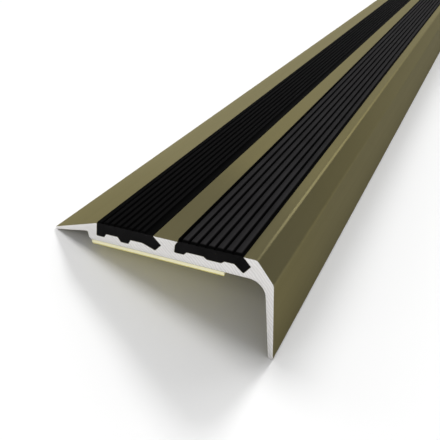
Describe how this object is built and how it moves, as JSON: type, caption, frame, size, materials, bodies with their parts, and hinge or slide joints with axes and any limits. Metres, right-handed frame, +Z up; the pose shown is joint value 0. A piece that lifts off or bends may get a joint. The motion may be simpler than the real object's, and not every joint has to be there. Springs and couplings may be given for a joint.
{
  "type": "stair nosing",
  "caption": "Self-adhesive stair nosing: a bronze anodised aluminium angle with a rear ramp, a bevelled nose and black ribbed anti-slip inserts in undercut channels.",
  "frame": {"origin": "on the floor under the middle of the bar, with the bar resting on its rear tip and on the toe of its riser leg", "axes": "+Y along the bar, +X from the rear tip towards the riser leg, +Z up from the floor; the installed tread direction leans 20.9 degrees down towards the rear tip"},
  "size_m": [0.0566, 1, 0.0214],
  "materials": {
    "anodised_aluminium": "satin bronze anodised, bare at the sawn ends",
    "soft_insert": "soft black PVC, matte",
    "tape": "soft foam tape, tacky on both faces",
    "liner": "coated release paper, slightly glossy"
  },
  "bodies": {
    "root": {"profile": "anodised_aluminium", "rear_insert": "soft_insert", "front_insert": "soft_insert", "adhesive_tape": "tape", "release_liner": "liner"}
  },
  "joints": []
}
